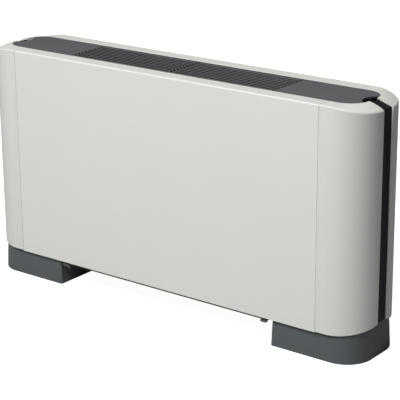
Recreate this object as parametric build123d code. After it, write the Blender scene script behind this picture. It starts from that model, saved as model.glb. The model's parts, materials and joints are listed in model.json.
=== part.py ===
from build123d import *
from math import cos, pi, radians, sin, sqrt, tan
import os

# Floor-standing fan coil air conditioner, lengths in millimetres.
# Frame: X along the length, front face towards -Y, Z up, origin on the floor under the middle.

# Casing
overall_length = 1194.0
casing_height = 564.0
casing_depth = 226.0
foot_height = 70.0
corner_radius = 93.0
opening_overrun = 60.0
end_length = 119.0
seam_gap = 0.8
rim_width = 43.0
panel_sheet = 1.2
panel_bend = 1.8
panel_return = 20.0
shell_wall = 3.0
shell_lift = 3.0
shell_end_rise = 17.0
crest_drop = 16.0
crest_chamfer = 1.5
tongue_reach = 12.0
tongue_wall = 2.0
groove_depth = 5.0
groove_lip = 7.0
lip_skirt = 30.0

# Lids and grille
lid_length = 277.0
lid_gap = 0.7
lid_plate = 3.0
cover_height = 10.0
ledge_width = 6.0
ledge_gap = 0.3
lid_skirt_wall = 2.0
notch_radius = 24.0
notch_depth = 14.0
hinge_knuckle_radius = 3.0
hinge_pin_radius = 1.2
hinge_clearance = 0.05
pin_overhang = 3.0
ledge_sheet = 2.0
lid_rib_drop = 6.0
grille_rim = 3.0
grille_end_drop = 4.0
louvre_count = 10
louvre_wall = 2.2
louvre_lean = 7.0
louvre_rib_count = 3
louvre_rib_wall = 2.0
louvre_rib_height = 4.0

# Dark strip in each end
strip_wall = 3.0
strip_side_gap = 0.4
strip_wing = 12.0
strip_shoulder_drop = 22.0
strip_top_drop = 9.0
strip_top_inset = 35.0

# Feet
foot_length = 245.0
foot_end_inset = 7.0
foot_face_inset = 6.0
foot_corner_radius = 72.0
foot_inner_radius = 6.0
foot_taper = 3.0
foot_collar_height = 19.0
foot_collar_gap = 4.0
foot_wall = 3.0
foot_top_gap = 0.3
bracket_sheet = 3.0
bracket_width = 170.0
bracket_web_inset = 165.0
bracket_top_reach = 30.0
bracket_flange_length = 90.0
gusset_reach = 37.0
gusset_height = 47.0
foot_screw_y = 72.0
foot_screw_z = 38.0
floor_hole_radius = 4.5
floor_hole_inset = 127.0
floor_hole_y = 60.0

# Galvanised frame
frame_inset = 197.0
frame_sheet = 1.2
frame_lift = 6.0
frame_flange = 28.0
frame_top_drop = 22.0
back_top_drop = 20.0
rail_skirt = 45.0
beam_height = 40.0
beam_depth = 18.0
beam_drop = 30.0
wall_hole_radius = 4.25
wall_hole_inset = 20.0
wall_hole_low_z = 170.0
wall_hole_high_z = 550.0
pipe_window_offset = 37.0
pipe_window_width = 42.0
pipe_window_height = 110.0
pipe_window_z = 190.0
rib_height = 4.0
rib_width = 16.0
rib_drop = 45.0
rib_inset = 60.0
deck_lip = 14.0
cradle_width = 14.0
cradle_strap = 2.7
cradle_gap = 2.8
cradle_foot = 12.0
hanger_half_width = 14.0
hanger_reach = 24.0
hanger_sheet = 3.0
base_rail_depth = 24.0
base_rail_height = 30.0
insulation_wall = 5.0
insulation_end_gap = 10.0
insulation_rise = 60.0

# Fans
fan_axis_y = -8.0
fan_axis_z = 178.0
motor_space = 100.0
scroll_bearing_gap = 35.0
wheel_radius = 66.0
wheel_blade_depth = 11.0
wheel_blade_wall = 1.4
wheel_blade_count = 26
wheel_ring = 5.0
wheel_disc = 2.0
wheel_hub_radius = 14.0
wheel_hub_length = 30.0
wheel_side_gap = 6.0
blade_bulge = 3.0
blade_sweep = 7.0
shaft_radius = 5.0
shaft_clearance = 0.05
seat_clearance = 0.02
scroll_wall = 1.5
scroll_start = 76.0
scroll_growth = 21.0
scroll_inlet_radius = 56.0
deck_z = 284.0
motor_radius = 46.0
motor_length = 116.0
motor_bell = 14.0
motor_nose = 9.0
motor_fin_count = 8
motor_fin_radius = 2.5
bearing_inset = 55.0
bearing_radius = 16.0
bearing_width = 12.0

# Heat exchanger
coil_centre_y = 5.0
coil_centre_z = 425.0
coil_tilt = 30.0
coil_end_gap = 22.0
coil_height = 200.0
coil_thickness = 44.0
fin_count = 48
fin_wall = 1.0
tube_radius = 5.0
tube_pitch = 25.0
tube_row_gap = 22.0
tube_rows = 8
end_plate_margin = 6.0
end_plate_sheet = 1.5
header_radius = 8.0
header_length = 84.0
port_radius = 7.5
port_across = 12.0
port_inset = 50.0
connection_radius = 15.0
connection_wall = 1.5
connection_hexagon = 12.0
connection_bore = 9.3
connection_length = 26.0
connection_thread = 16.0
connection_reach = 55.0
vent_radius = 5.0
vent_body_height = 8.0
vent_screw_height = 3.0
vent_screw_rim = 1.5
vent_slot = 1.0

# Drain
pan_front_y = -100.0
pan_rear_y = -12.0
pan_wall = 1.5
pan_front_height = 48.0
pan_rear_height = 33.0
spigot_radius = 8.0
spigot_bore = 6.0
spigot_y = -80.0
spigot_rise = 14.0
spigot_reach = 40.0
tray_height = 24.0
tray_low_z = 318.0
tray_half_depth = 72.0
tray_reach = 76.0
tray_wall = 2.0
spout_radius = 6.0
spout_bore = 4.0
spout_inset = 14.0
spout_length = 18.0

# Filter
filter_foot_gap = 10.0
filter_half_depth = 98.0
filter_height = 6.0
filter_top_gap = 2.0
filter_rail = 9.0
filter_mesh_wall = 2.0
filter_bar_count = 5
filter_bar_width = 4.0
filter_bar_height = 2.0
filter_tab_wall = 3.0
filter_tab_inset = 14.0
filter_tab_width = 18.0
filter_tab_reach = 7.0
filter_tab_drop = 4.0
runner_gap = 0.3
runner_wall = 1.5
runner_lip = 8.0

# Controls
control_drop = 45.0
control_wall = 3.0
control_length = 136.0
control_half_depth = 52.0
control_rim = 8.0
knob_radius = 15.0
knob_height = 16.0
knob_gap = 0.4
knob_stem_radius = 3.0
knob_stem_length = 12.0
knob_clearance = 0.05
knob_flutes = 12
knob_flute_radius = 2.2
collar_wall = 3.0
collar_drop = 9.0
speed_rest_angle = 90.0
thermostat_rest_angle = 225.0
pointer_width = 2.0
pointer_height = 0.8
speed_knob_offset = 42.0
thermostat_knob_offset = 100.0
switch_offset = 71.0
switch_y = 34.0
switch_length = 10.0
switch_width = 6.0
switch_travel = 6.0
switch_height = 6.0
switch_stem = 6.0
switch_gap = 0.4
switch_groove_count = 3
box_depth = 44.0
box_low_z = 330.0
box_height = 130.0
box_half_width = 45.0
box_wall = 2.5
strip_depth = 16.0
strip_half_width = 12.0
terminal_count = 6
terminal_radius = 3.0
gland_radius = 9.0
gland_bore = 5.5
gland_length = 22.0
gland_nut = 8.0
gland_nut_radius = 11.5

# Screws
screw_radius = 4.0
screw_head = 2.4
screw_slot = 0.9
screw_seat = 0.05
rivet_radius = 4.0
rivet_height = 1.0
rivet_count = 6
rivet_inset = 8.0
rail_screw_offset = 40.0
rail_screw_rise = 12.0

# Worked out from the above
z_bottom = foot_height
z_top = foot_height + casing_height
half_length = overall_length / 2
half_depth = casing_depth / 2
seam_x = half_length - end_length
lid_joint_x = half_length - lid_length
foot_outer_x = half_length - foot_end_inset
foot_inner_x = foot_outer_x - foot_length
foot_collar_x = seam_x + foot_collar_gap
bracket_web_x = half_length - bracket_web_inset
floor_hole_x = half_length - floor_hole_inset
frame_half_length = half_length - frame_inset
wall_hole_x = frame_half_length - wall_hole_inset
pipe_window_x = frame_half_length + pipe_window_offset
bearing_x = frame_half_length - bearing_inset
fan_width = bearing_x - scroll_bearing_gap - motor_space
fan_centre_x = motor_space + fan_width / 2
coil_half_length = frame_half_length - coil_end_gap
port_along = coil_height / 2 - port_inset
connection_end_x = frame_half_length + connection_reach
spigot_end_x = frame_half_length + spigot_reach
tray_end_x = frame_half_length + tray_reach
filter_half_length = foot_inner_x - filter_foot_gap
filter_tab_x = filter_half_length - filter_tab_inset
control_far_x = frame_half_length + control_length
speed_knob_x = frame_half_length + speed_knob_offset
thermostat_knob_x = frame_half_length + thermostat_knob_offset
switch_x = frame_half_length + switch_offset
rail_screw_pitch = (frame_half_length + rail_screw_offset) / 2
groove_half = half_depth - corner_radius
corner_x = half_length - corner_radius
opening_half = half_depth - rim_width
opening_radius = corner_radius - rim_width
opening_end_x = corner_x + opening_radius
shell_start_x = seam_x + seam_gap / 2
panel_half_length = seam_x - seam_gap / 2
shell_bottom = z_bottom + shell_lift
strip_bottom = shell_bottom + shell_end_rise
foot_collar_top = foot_height + foot_collar_height
ledge_top = z_top - cover_height - ledge_gap
inner_face = half_depth - panel_sheet
hinge_x = lid_joint_x + hinge_knuckle_radius
hinge_z = z_top - hinge_knuckle_radius
back_half_length = shell_start_x - tongue_reach - 0.5
frame_front_y = -inner_face + insulation_wall
frame_bottom = z_bottom + frame_lift
frame_top = z_top - frame_top_drop
plate_inner_x = frame_half_length - frame_sheet
deck_top = deck_z + frame_sheet
filter_top = z_bottom - filter_top_gap
filter_bottom = filter_top - filter_height
control_top = z_top - control_drop


def block(x0, x1, y0, y1, z0, z1):
    """A plain box between two corners."""
    size = (abs(x1 - x0), abs(y1 - y0), abs(z1 - z0))
    return Pos((x0 + x1) / 2, (y0 + y1) / 2, (z0 + z1) / 2) * Box(*size)


def rod(x, y, z, radius, length, axis="Z"):
    """A cylinder centred on a point along one of the three axes."""
    turn = {"X": Rot(0, 90, 0), "Y": Rot(90, 0, 0), "Z": Rot(0, 0, 0)}[axis]
    return Pos(x, y, z) * turn * Cylinder(radius, length)


def along_x(section, start, length):
    """A section drawn in Y and Z, drawn out along X."""
    return extrude(Plane(origin=(start, 0, 0), x_dir=(0, 1, 0), z_dir=(1, 0, 0)) * section, length)


def along_y(section, start, length):
    """A section drawn in X and Z, drawn out along Y."""
    plane = Plane(origin=(0, start + length, 0), x_dir=(1, 0, 0), z_dir=(0, -1, 0))
    return extrude(plane * section, length)


def bent_sheet(points, thickness, bend, half):
    """A folded sheet: its centre line in the YZ plane, drawn out along X to both sides."""
    line = FilletPolyline(*points, radius=bend)
    section = trace(line, line_width=thickness)
    return along_x(section, -half, 2 * half)


def other_side(shape):
    return mirror(shape, about=Plane.YZ)


def other_face(shape):
    return mirror(shape, about=Plane.XZ)


def save(name, shape):
    os.makedirs("parts", exist_ok=True)
    solids = shape.solids() if hasattr(shape, "solids") else [s for item in shape for s in item.solids()]
    item = solids[0] if len(solids) == 1 else Compound(children=list(solids))
    export_step(item, f"parts/{name}.step")


# Front panel and rear rail
def rim_points(skirt_end):
    """The folded edge that both long rims share, from the skirt over the rim to the ledge."""
    mid = panel_sheet / 2
    return [
        (-half_depth + mid, skirt_end),
        (-half_depth + mid, z_top - mid),
        (-opening_half - mid, z_top - mid),
        (-opening_half - mid, ledge_top - mid),
        (-opening_half + ledge_width, ledge_top - mid),
    ]


def hinge_holes(half):
    """Holes for both hinge pins through a rim flange, at the side that half gives."""
    hole = rod(hinge_x, half, hinge_z, hinge_pin_radius + seat_clearance, 4 * panel_sheet, "Y")
    return hole + other_side(hole)


def make_front_panel():
    mid = panel_sheet / 2
    return_y = -half_depth + panel_return
    points = [(return_y, z_bottom + mid)] + rim_points(z_bottom + mid)
    sheet = bent_sheet(points, panel_sheet, panel_bend, panel_half_length)
    return sheet - hinge_holes(-opening_half - mid)


def make_rear_rail():
    rail = bent_sheet(rim_points(z_top - rail_skirt), panel_sheet, panel_bend, panel_half_length)
    return other_face(rail - hinge_holes(-opening_half - panel_sheet / 2))


# Corner shells
def corner_plan(inset, start_x, inner_y):
    """Plan of the front right corner, drawn in by inset, down to the line y = inner_y."""
    radius = corner_radius - inset
    rise = -groove_half - inner_y
    end = (corner_x + sqrt(radius * radius - rise * rise), inner_y)
    middle_angle = radians(-45)
    middle = (corner_x + radius * cos(middle_angle), -groove_half + radius * sin(middle_angle))
    low = -half_depth + inset
    edges = [
        Line((start_x, low), (corner_x, low)),
        ThreePointArc((corner_x, low), middle, end),
        Line(end, (start_x, inner_y)),
        Line((start_x, inner_y), (start_x, low)),
    ]
    return make_face(edges)


def crest_section(drop):
    """Section of what is cut off above a rim: distance from the corner's axis and height."""
    slope = drop / rim_width
    near = opening_radius + 0.01
    edge = corner_radius - crest_chamfer
    far = corner_radius + 6
    edge_z = z_top - 0.01 - slope * (edge - opening_radius)
    return [
        (near, z_top - 0.01),
        (edge, edge_z),
        (far, edge_z - (far - edge)),
        (far, z_top + 5),
        (near, z_top + 5),
    ]


def crest_cutter():
    """The rim slopes outwards more and more as it goes round the corner to the groove."""
    sections = []
    points = [(shell_start_x - 6, -groove_half - r, z) for r, z in crest_section(0)]
    sections.append(make_face(Polyline(*points, close=True)))
    for angle in (0, 22.5, 45, 67.5, 90, 96):
        drop = crest_drop * sin(radians(min(angle, 90)))
        points = [
            (corner_x + r * sin(radians(angle)), -groove_half - r * cos(radians(angle)), z)
            for r, z in crest_section(drop)
        ]
        sections.append(make_face(Polyline(*points, close=True)))
    return loft(sections, ruled=True)


def opening_plan(grow):
    """Plan of the lid opening's right end, made larger by grow."""
    half = opening_half + grow
    end = opening_end_x + grow
    start = seam_x - opening_overrun
    plate = Pos((start + end) / 2, 0) * Rectangle(end - start, 2 * half)
    corners = plate.vertices().filter_by(lambda v: v.X > corner_x)
    return fillet(corners, opening_radius + grow)


def lid_seat():
    """Flange and ledge under the edge of the top opening, front right quarter."""
    flange_plan = opening_plan(shell_wall - 1) - opening_plan(0)
    ledge_plan = opening_plan(shell_wall - 1) - opening_plan(-ledge_width)
    place = Pos(0, 0, ledge_top - ledge_sheet)
    flange = place * extrude(flange_plan, z_top - shell_wall - ledge_top + ledge_sheet)
    ledge = place * extrude(ledge_plan, ledge_sheet)
    quarter = block(shell_start_x, half_length, -half_depth, -groove_half, 0, z_top)
    return (flange + ledge) & quarter


def rise_cutter():
    """What is cut off below a shell, whose lower edge rises from the face to the groove."""
    points = [
        (-half_depth, 0),
        (-half_depth, shell_bottom),
        (-groove_half, strip_bottom),
        (-groove_half + 1, strip_bottom),
        (-groove_half + 1, 0),
    ]
    start = shell_start_x - tongue_reach - 1
    return along_x(make_face(Polyline(*points, close=True)), start, half_length - start + 1)


def make_front_shell():
    cutter = crest_cutter()
    outer_plan = corner_plan(0, shell_start_x, -groove_half)
    outer = Pos(0, 0, shell_bottom) * extrude(outer_plan, z_top - shell_bottom) - cutter
    inner_plan = corner_plan(shell_wall, shell_start_x - 5, -groove_half - shell_wall)
    inner = extrude(inner_plan, z_top - shell_wall) - Pos(0, 0, -shell_wall) * cutter
    opening = extrude(opening_plan(0), 2 * z_top)
    lip_x = half_length - groove_lip
    lip_cut = block(
        shell_start_x - 5, lip_x, -groove_half - shell_wall - 0.5, -groove_half + 1, 0, z_top - lip_skirt
    )
    tongue = block(
        shell_start_x - tongue_reach, shell_start_x + 4,
        -inner_face + 0.1, -inner_face + 0.1 + tongue_wall,
        shell_bottom + 4, z_top - 16,
    )
    shell = outer - inner - opening - lip_cut - rise_cutter()
    return shell + lid_seat() + tongue


# Dark strips
def make_strip():
    """Recessed strip in the right end: upright below, leaning in under the lid at the top."""
    face_x = half_length - groove_depth
    mid = strip_wall / 2
    shoulder = z_top - strip_shoulder_drop
    line = Polyline(
        (face_x - mid, strip_bottom),
        (face_x - mid, shoulder - 1),
        (half_length - strip_top_inset, z_top - strip_top_drop - mid),
    )
    section = trace(line, line_width=strip_wall)
    half = groove_half - strip_side_gap
    face = along_y(section, -half, 2 * half)
    lip_x = half_length - groove_lip
    wing = block(
        lip_x - 0.3 - strip_wall, lip_x - 0.3,
        -groove_half - strip_wing, groove_half + strip_wing,
        strip_bottom, z_top - lip_skirt - 4,
    )
    return face + wing


# Louvre grille
def louvre_profile(y):
    """One slanting blade that turns the air out to the front."""
    low = z_top - cover_height
    lean = louvre_lean / 2
    wall = louvre_wall
    points = [
        (y + lean - wall / 2, low),
        (y + lean + wall / 2, low),
        (y - lean + wall / 2, z_top - 0.3),
        (y - lean + 0.2, z_top),
        (y - lean - wall / 2, z_top - 0.8),
    ]
    return make_face(Polyline(*points, close=True))


def make_grille():
    """Right grille module with blades that run along the length."""
    x0 = lid_gap / 2
    x1 = lid_joint_x - ledge_gap
    half = opening_half - lid_gap
    low = z_top - cover_height
    rim = block(x0, x1, -half, half, low, z_top)
    inside = half - grille_rim
    rim -= block(x0 + grille_rim, x1 - grille_rim, -inside, inside, low - 1, z_top + 1)
    rim -= block(x0 - 1, x1 + 1, -inside, inside, z_top - grille_end_drop, z_top + 1)
    pitch = (2 * half - grille_rim) / (louvre_count + 0.5)
    first = -pitch * (louvre_count - 1) / 2
    for index in range(louvre_count):
        rim += along_x(louvre_profile(first + index * pitch), x0, x1 - x0)
    for index in range(louvre_rib_count):
        x = x0 + (x1 - x0) * (index + 1) / (louvre_rib_count + 1)
        rib_x = x - louvre_rib_wall / 2
        rim += block(rib_x, rib_x + louvre_rib_wall, -half + 1, half - 1, low, low + louvre_rib_height)
    return rim


# Lids
def lid_plan(inset):
    start = hinge_x
    end = opening_end_x - lid_gap - inset
    half = opening_half - lid_gap - inset
    radius = opening_radius - lid_gap - inset
    plate = Pos((start + end) / 2, 0) * Rectangle(end - start, 2 * half)
    corners = plate.vertices().filter_by(lambda v: v.X > corner_x)
    plate = fillet(corners, radius)
    centre = opening_end_x - lid_gap + notch_radius - notch_depth
    return plate - Pos(centre, 0) * Circle(notch_radius + inset)


def make_lid():
    """Right lid, hinged at its inner end, with a finger notch in its outer end."""
    plate = Pos(0, 0, z_top - lid_plate) * extrude(lid_plan(0), lid_plate)
    low = z_top - cover_height
    skirt_plan = lid_plan(0) - lid_plan(lid_skirt_wall)
    skirt = Pos(0, 0, low) * extrude(skirt_plan, cover_height)
    clear_x = hinge_x + 2 * hinge_knuckle_radius
    skirt -= block(0, clear_x, -half_depth, half_depth, low - 1, z_top - lid_plate)
    half = opening_half - lid_gap
    rib_x = (clear_x + corner_x) / 2
    for x in (clear_x, rib_x):
        skirt += block(x, x + lid_skirt_wall, -half + 1, half - 1, z_top - lid_rib_drop, z_top - 1)
    knuckle = rod(hinge_x, 0, hinge_z, hinge_knuckle_radius, 2 * half, "Y")
    bore = rod(hinge_x, 0, hinge_z, hinge_pin_radius + hinge_clearance, 2 * half_depth, "Y")
    return plate + skirt + knuckle - bore


def make_hinge_pins():
    length = 2 * (opening_half + pin_overhang)
    pin = rod(hinge_x, 0, hinge_z, hinge_pin_radius, length, "Y")
    return [pin, other_side(pin)]


# Feet
def foot_plan(inset):
    x0 = foot_inner_x + inset
    x1 = foot_outer_x - inset
    half = half_depth - foot_face_inset - inset
    plan = Pos((x0 + x1) / 2, 0) * Rectangle(x1 - x0, 2 * half)
    middle = (x0 + x1) / 2
    outer = plan.vertices().filter_by(lambda v: v.X > middle)
    plan = fillet(outer, foot_corner_radius - inset)
    inner = plan.vertices().filter_by(lambda v: v.X < x0 + 1)
    return fillet(inner, max(foot_inner_radius - inset, 1))


def make_foot_cover():
    """Hollow cover with a flat roof, and a collar round its end that reaches up into the shells."""
    height = foot_height - foot_top_gap
    outer = extrude(foot_plan(0), height, taper=foot_taper)
    inner = extrude(foot_plan(foot_wall), height - foot_wall, taper=foot_taper)
    window = block(
        frame_half_length + 1, frame_half_length + bracket_top_reach + 12,
        -bracket_width / 2 - 1, bracket_width / 2 + 1, height / 2, foot_height + 1,
    )
    collar = extrude(foot_plan(0), foot_collar_top, taper=foot_taper)
    collar -= extrude(foot_plan(foot_wall), foot_collar_top, taper=foot_taper)
    collar &= block(foot_collar_x, half_length, -half_depth, half_depth, height - foot_wall, foot_collar_top)
    return outer - inner - window + collar


def make_foot_bracket():
    half = bracket_width / 2
    sheet = bracket_sheet
    web_x = bracket_web_x
    shape = block(web_x, web_x + sheet, -half, half, 0, frame_bottom)
    top_x = web_x + sheet - bracket_top_reach
    shape += block(top_x, web_x + sheet, -half, half, frame_bottom - sheet, frame_bottom)
    shape += block(web_x, web_x + bracket_flange_length, -half, half, 0, sheet)
    corner = web_x + sheet - 1
    far = web_x + sheet + gusset_reach
    high = sheet + gusset_height
    gusset = Polyline((corner, sheet - 1), (far, sheet - 1), (corner, high), close=True)
    for y in (-half, half - sheet):
        shape += along_y(make_face(gusset), y, sheet)
    for y in (-floor_hole_y, floor_hole_y):
        shape -= rod(floor_hole_x, y, 0, floor_hole_radius, 4 * sheet)
    return shape


# Galvanised frame
def make_back_plate():
    top = z_top - back_top_drop
    y1 = inner_face
    y0 = y1 - frame_sheet
    plate = block(-back_half_length, back_half_length, y0, y1, frame_bottom, top)
    half = frame_half_length - rib_inset
    for z in (wall_hole_low_z - rib_drop, wall_hole_high_z - rib_drop):
        plate += block(-half, half, y0 - rib_height, y0, z, z + rib_width)
        plate -= block(
            -half + frame_sheet, half - frame_sheet,
            y0 - rib_height + frame_sheet, y1 + 1, z + frame_sheet, z + rib_width - frame_sheet,
        )
    for x in (-wall_hole_x, wall_hole_x):
        for z in (wall_hole_low_z, wall_hole_high_z):
            plate -= rod(x, y1, z, wall_hole_radius, 6 * frame_sheet, "Y")
    window = Rectangle(pipe_window_width, pipe_window_height)
    window = fillet(window.vertices(), 12)
    return plate - along_y(Pos(-pipe_window_x, pipe_window_z) * window, y0 - 5, 12)


def make_side_plate():
    """Right side plate: web with outward flanges at the bottom, the back and the front."""
    x0 = plate_inner_x
    x1 = frame_half_length
    y0 = frame_front_y
    y1 = inner_face - frame_sheet
    web = block(x0, x1, y0, y1, frame_bottom, frame_top)
    web += block(x0, x1 + frame_flange, y0, y1, frame_bottom, frame_bottom + frame_sheet)
    web += block(x0, x1 + frame_flange / 2, y1 - frame_sheet, y1, frame_bottom, frame_top)
    web += block(x0, x1 + frame_flange / 2, y0, y0 + frame_sheet, frame_bottom, frame_top)
    return web


def make_front_beam():
    y0 = frame_front_y
    z1 = z_top - beam_drop
    z0 = z1 - beam_height
    beam = block(-plate_inner_x, plate_inner_x, y0, y0 + frame_sheet, z0, z1)
    beam += block(-plate_inner_x, plate_inner_x, y0, y0 + beam_depth, z0, z0 + frame_sheet)
    beam += block(-plate_inner_x, plate_inner_x, y0, y0 + beam_depth, z1 - frame_sheet, z1)
    return beam


def make_base_rail():
    """Angle along the bottom at the front, which carries the filter runners."""
    y0 = frame_front_y
    half = plate_inner_x
    rail = block(-half, half, y0, y0 + frame_sheet, frame_bottom, frame_bottom + base_rail_height)
    return rail + block(-half, half, y0, y0 + base_rail_depth, frame_bottom, frame_bottom + frame_sheet)


def make_rear_base_rail():
    y1 = inner_face - frame_sheet
    half = plate_inner_x
    rail = block(-half, half, y1 - frame_sheet, y1, frame_bottom, frame_bottom + base_rail_height)
    return rail + block(-half, half, y1 - base_rail_depth, y1, frame_bottom, frame_bottom + frame_sheet)


def make_insulation():
    half = plate_inner_x - insulation_end_gap
    z0 = z_bottom + insulation_rise
    z1 = z_top - beam_drop
    return block(-half, half, -inner_face, -inner_face + insulation_wall, z0, z1)


# Fans
def scroll_radius(angle):
    """The scroll's inner wall grows evenly with the angle from the cut-off."""
    return scroll_start + scroll_growth * angle / 270


def scroll_face(grow, top):
    """The space inside the scroll, with its outlet duct up to the given height."""
    points = []
    steps = 9
    for index in range(steps + 1):
        angle = 270 * index / steps
        radius = scroll_radius(angle) + grow
        turn = radians(90 + angle)
        points.append((fan_axis_y + radius * cos(turn), fan_axis_z + radius * sin(turn)))
    start, end = points[0], points[-1]
    wall_y = fan_axis_y + scroll_wall - grow
    duct = [end, (end[0], top), (wall_y, top)]
    if grow < scroll_wall:
        duct.append((wall_y, start[1]))
    duct.append(start)
    return make_face([Spline(*points)] + Polyline(*duct).edges())


def make_scroll():
    """Right fan housing: spiral wall, two cheeks with round inlets and an outlet at the top."""
    x0 = fan_centre_x - fan_width / 2
    outer = along_x(scroll_face(scroll_wall, deck_z), x0, fan_width)
    inner = along_x(scroll_face(0, deck_z + 1), x0 + scroll_wall, fan_width - 2 * scroll_wall)
    inlet = rod(fan_centre_x, fan_axis_y, fan_axis_z, scroll_inlet_radius, fan_width + 10, "X")
    bell = rod(fan_centre_x, fan_axis_y, fan_axis_z, scroll_inlet_radius + scroll_wall, fan_width + 8, "X")
    bell -= rod(fan_centre_x, fan_axis_y, fan_axis_z, 2 * wheel_radius, fan_width - 2 * scroll_wall, "X")
    return outer - inner + bell - inlet


def make_wheel():
    """Right fan wheel with forward-curved blades between two rings, on a middle disc."""
    length = fan_width - 2 * scroll_wall - 2 * wheel_side_gap
    outer = wheel_radius
    inner = wheel_radius - wheel_blade_depth
    start = (inner, 0)
    end = (outer * cos(radians(blade_sweep)), outer * sin(radians(blade_sweep)))
    middle = ((start[0] + end[0]) / 2 + blade_bulge / 3, end[1] / 2 - blade_bulge)
    blade = trace(ThreePointArc(start, middle, end), line_width=wheel_blade_wall)
    turns = [Rot(0, 0, 360 * index / wheel_blade_count) for index in range(wheel_blade_count)]
    profile = Sketch() + [turn * blade for turn in turns]
    x0 = -length / 2
    wheel = along_x(profile, x0, length)
    ring = Circle(outer + 0.6) - Circle(inner - 0.6)
    disc = Circle(outer - 1) - Circle(shaft_radius + seat_clearance)
    hub = Circle(wheel_hub_radius) - Circle(shaft_radius + seat_clearance)
    wheel += along_x(ring, x0, wheel_ring)
    wheel += along_x(ring, -x0 - wheel_ring, wheel_ring)
    wheel += along_x(disc, -wheel_disc / 2, wheel_disc)
    wheel += along_x(hub, -wheel_hub_length / 2, wheel_hub_length)
    return Pos(fan_centre_x, fan_axis_y, fan_axis_z) * wheel


def make_shaft():
    reach = bearing_x + bearing_width
    return rod(0, fan_axis_y, fan_axis_z, shaft_radius, 2 * reach, "X")


def make_motor():
    """Drum-shaped motor with an end bell and a bearing nose at each side."""
    y, z = fan_axis_y, fan_axis_z
    body = rod(0, y, z, motor_radius, motor_length - 2 * motor_bell, "X")
    for side in (-1, 1):
        bell_x = side * (motor_length / 2 - motor_bell)
        turn = Rot(0, 90 * side, 0)
        bell = Pos(bell_x, y, z) * turn * Pos(0, 0, motor_bell / 2) * Cone(
            motor_radius - 2, motor_radius * 0.62, motor_bell
        )
        body += bell
        body += rod(side * motor_length / 2, y, z, 3 * shaft_radius, 2 * motor_nose, "X")
    for index in range(motor_fin_count):
        angle = 2 * pi * (index + 0.5) / motor_fin_count
        fin_y = y + motor_radius * cos(angle)
        fin_z = z + motor_radius * sin(angle)
        body += rod(0, fin_y, fin_z, motor_fin_radius, motor_length - 3 * motor_bell, "X")
    return body - rod(0, y, z, shaft_radius + shaft_clearance, 2 * motor_length, "X")


def make_cradle():
    """Two straps that hang the motor from the fan deck."""
    items = []
    width = cradle_width
    y, z = fan_axis_y, fan_axis_z
    bore = motor_radius + cradle_gap
    outside = bore + cradle_strap
    for x in (-motor_length / 4, motor_length / 4):
        x0, x1 = x - width / 2, x + width / 2
        strap = rod(x, y, z, outside, width, "X") - rod(x, y, z, bore, 2 * width, "X")
        strap += block(x0, x1, y - outside, y - bore, z, deck_z)
        strap += block(x0, x1, y + bore, y + outside, z, deck_z)
        reach = outside + cradle_foot
        strap += block(x0, x1, y - reach, y + reach, deck_z - cradle_strap, deck_z)
        items.append(strap)
    return items


def make_bearing():
    """Right shaft bearing in its hanger under the fan deck."""
    y, z = fan_axis_y, fan_axis_z
    x0 = bearing_x - bearing_width / 2
    body = rod(bearing_x, y, z, bearing_radius, bearing_width, "X")
    half = hanger_half_width
    body += block(x0, x0 + hanger_sheet, y - half, y + half, z, deck_z)
    body += block(x0, x0 + hanger_reach, y - half, y + half, deck_z - hanger_sheet, deck_z)
    return body - rod(bearing_x, y, z, shaft_radius + shaft_clearance, 4 * bearing_width, "X")


def make_deck():
    """Plate between the fan space and the heat exchanger, open above each scroll."""
    y0 = frame_front_y
    y1 = inner_face - frame_sheet
    deck = block(-plate_inner_x, plate_inner_x, y0, y1, deck_z, deck_top)
    deck += block(-plate_inner_x, plate_inner_x, y0, y0 + frame_sheet, deck_z - deck_lip, deck_top)
    deck += block(-plate_inner_x, plate_inner_x, y1 - frame_sheet, y1, deck_z - deck_lip, deck_top)
    near = fan_axis_y
    far = fan_axis_y + scroll_radius(270)
    for x in (-fan_centre_x, fan_centre_x):
        half = fan_width / 2 - scroll_wall
        deck -= block(x - half, x + half, near, far, deck_z - 1, deck_top + 1)
    return deck


# Heat exchanger
def coil_place():
    return Pos(0, coil_centre_y, coil_centre_z) * Rot(-coil_tilt, 0, 0)


def make_fins():
    """Thin upright fins between a top and a bottom channel."""
    depth = coil_thickness
    height = coil_height
    fins = []
    span = 2 * coil_half_length - 2 * end_plate_sheet
    step = span / (fin_count - 1)
    for index in range(fin_count):
        x = -span / 2 + index * step
        fins.append(coil_place() * Pos(x, 0, 0) * Box(fin_wall, depth, height))
    return fins


def make_coil_channels():
    """Folded channels that clasp the upper and the lower edge of the fins."""
    length = 2 * coil_half_length
    sheet = end_plate_sheet
    items = []
    for side in (-1, 1):
        top = side * (coil_height / 2 + sheet / 2)
        channel = Pos(0, 0, top) * Box(length, coil_thickness + 2 * sheet + 0.4, sheet)
        for face in (-1, 1):
            edge = face * (coil_thickness / 2 + sheet / 2 + 0.2)
            channel += Pos(0, edge, side * (coil_height / 2 - 4)) * Box(length, sheet, 8 + sheet)
        items.append(coil_place() * channel)
    return items


def make_coil_end():
    """Right end plate of the coil, with flanges that reach the frame's side plate."""
    sheet = end_plate_sheet
    depth = coil_thickness + 2 * end_plate_margin
    height = coil_height + 2 * end_plate_margin
    reach = plate_inner_x - coil_half_length
    plate = Pos(coil_half_length + sheet / 2, 0, 0) * Box(sheet, depth, height)
    for side in (-1, 1):
        flange_z = side * (height / 2 - sheet / 2)
        plate += Pos(coil_half_length + reach / 2, 0, flange_z) * Box(reach, depth, sheet)
    return coil_place() * plate


def port_point(side):
    """Y and Z of one water port: the lower one for side -1, the upper one for side 1."""
    turn = radians(coil_tilt)
    across = side * port_across
    along = side * port_along
    y = coil_centre_y + across * cos(turn) + along * sin(turn)
    z = coil_centre_z - across * sin(turn) + along * cos(turn)
    return y, z


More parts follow.
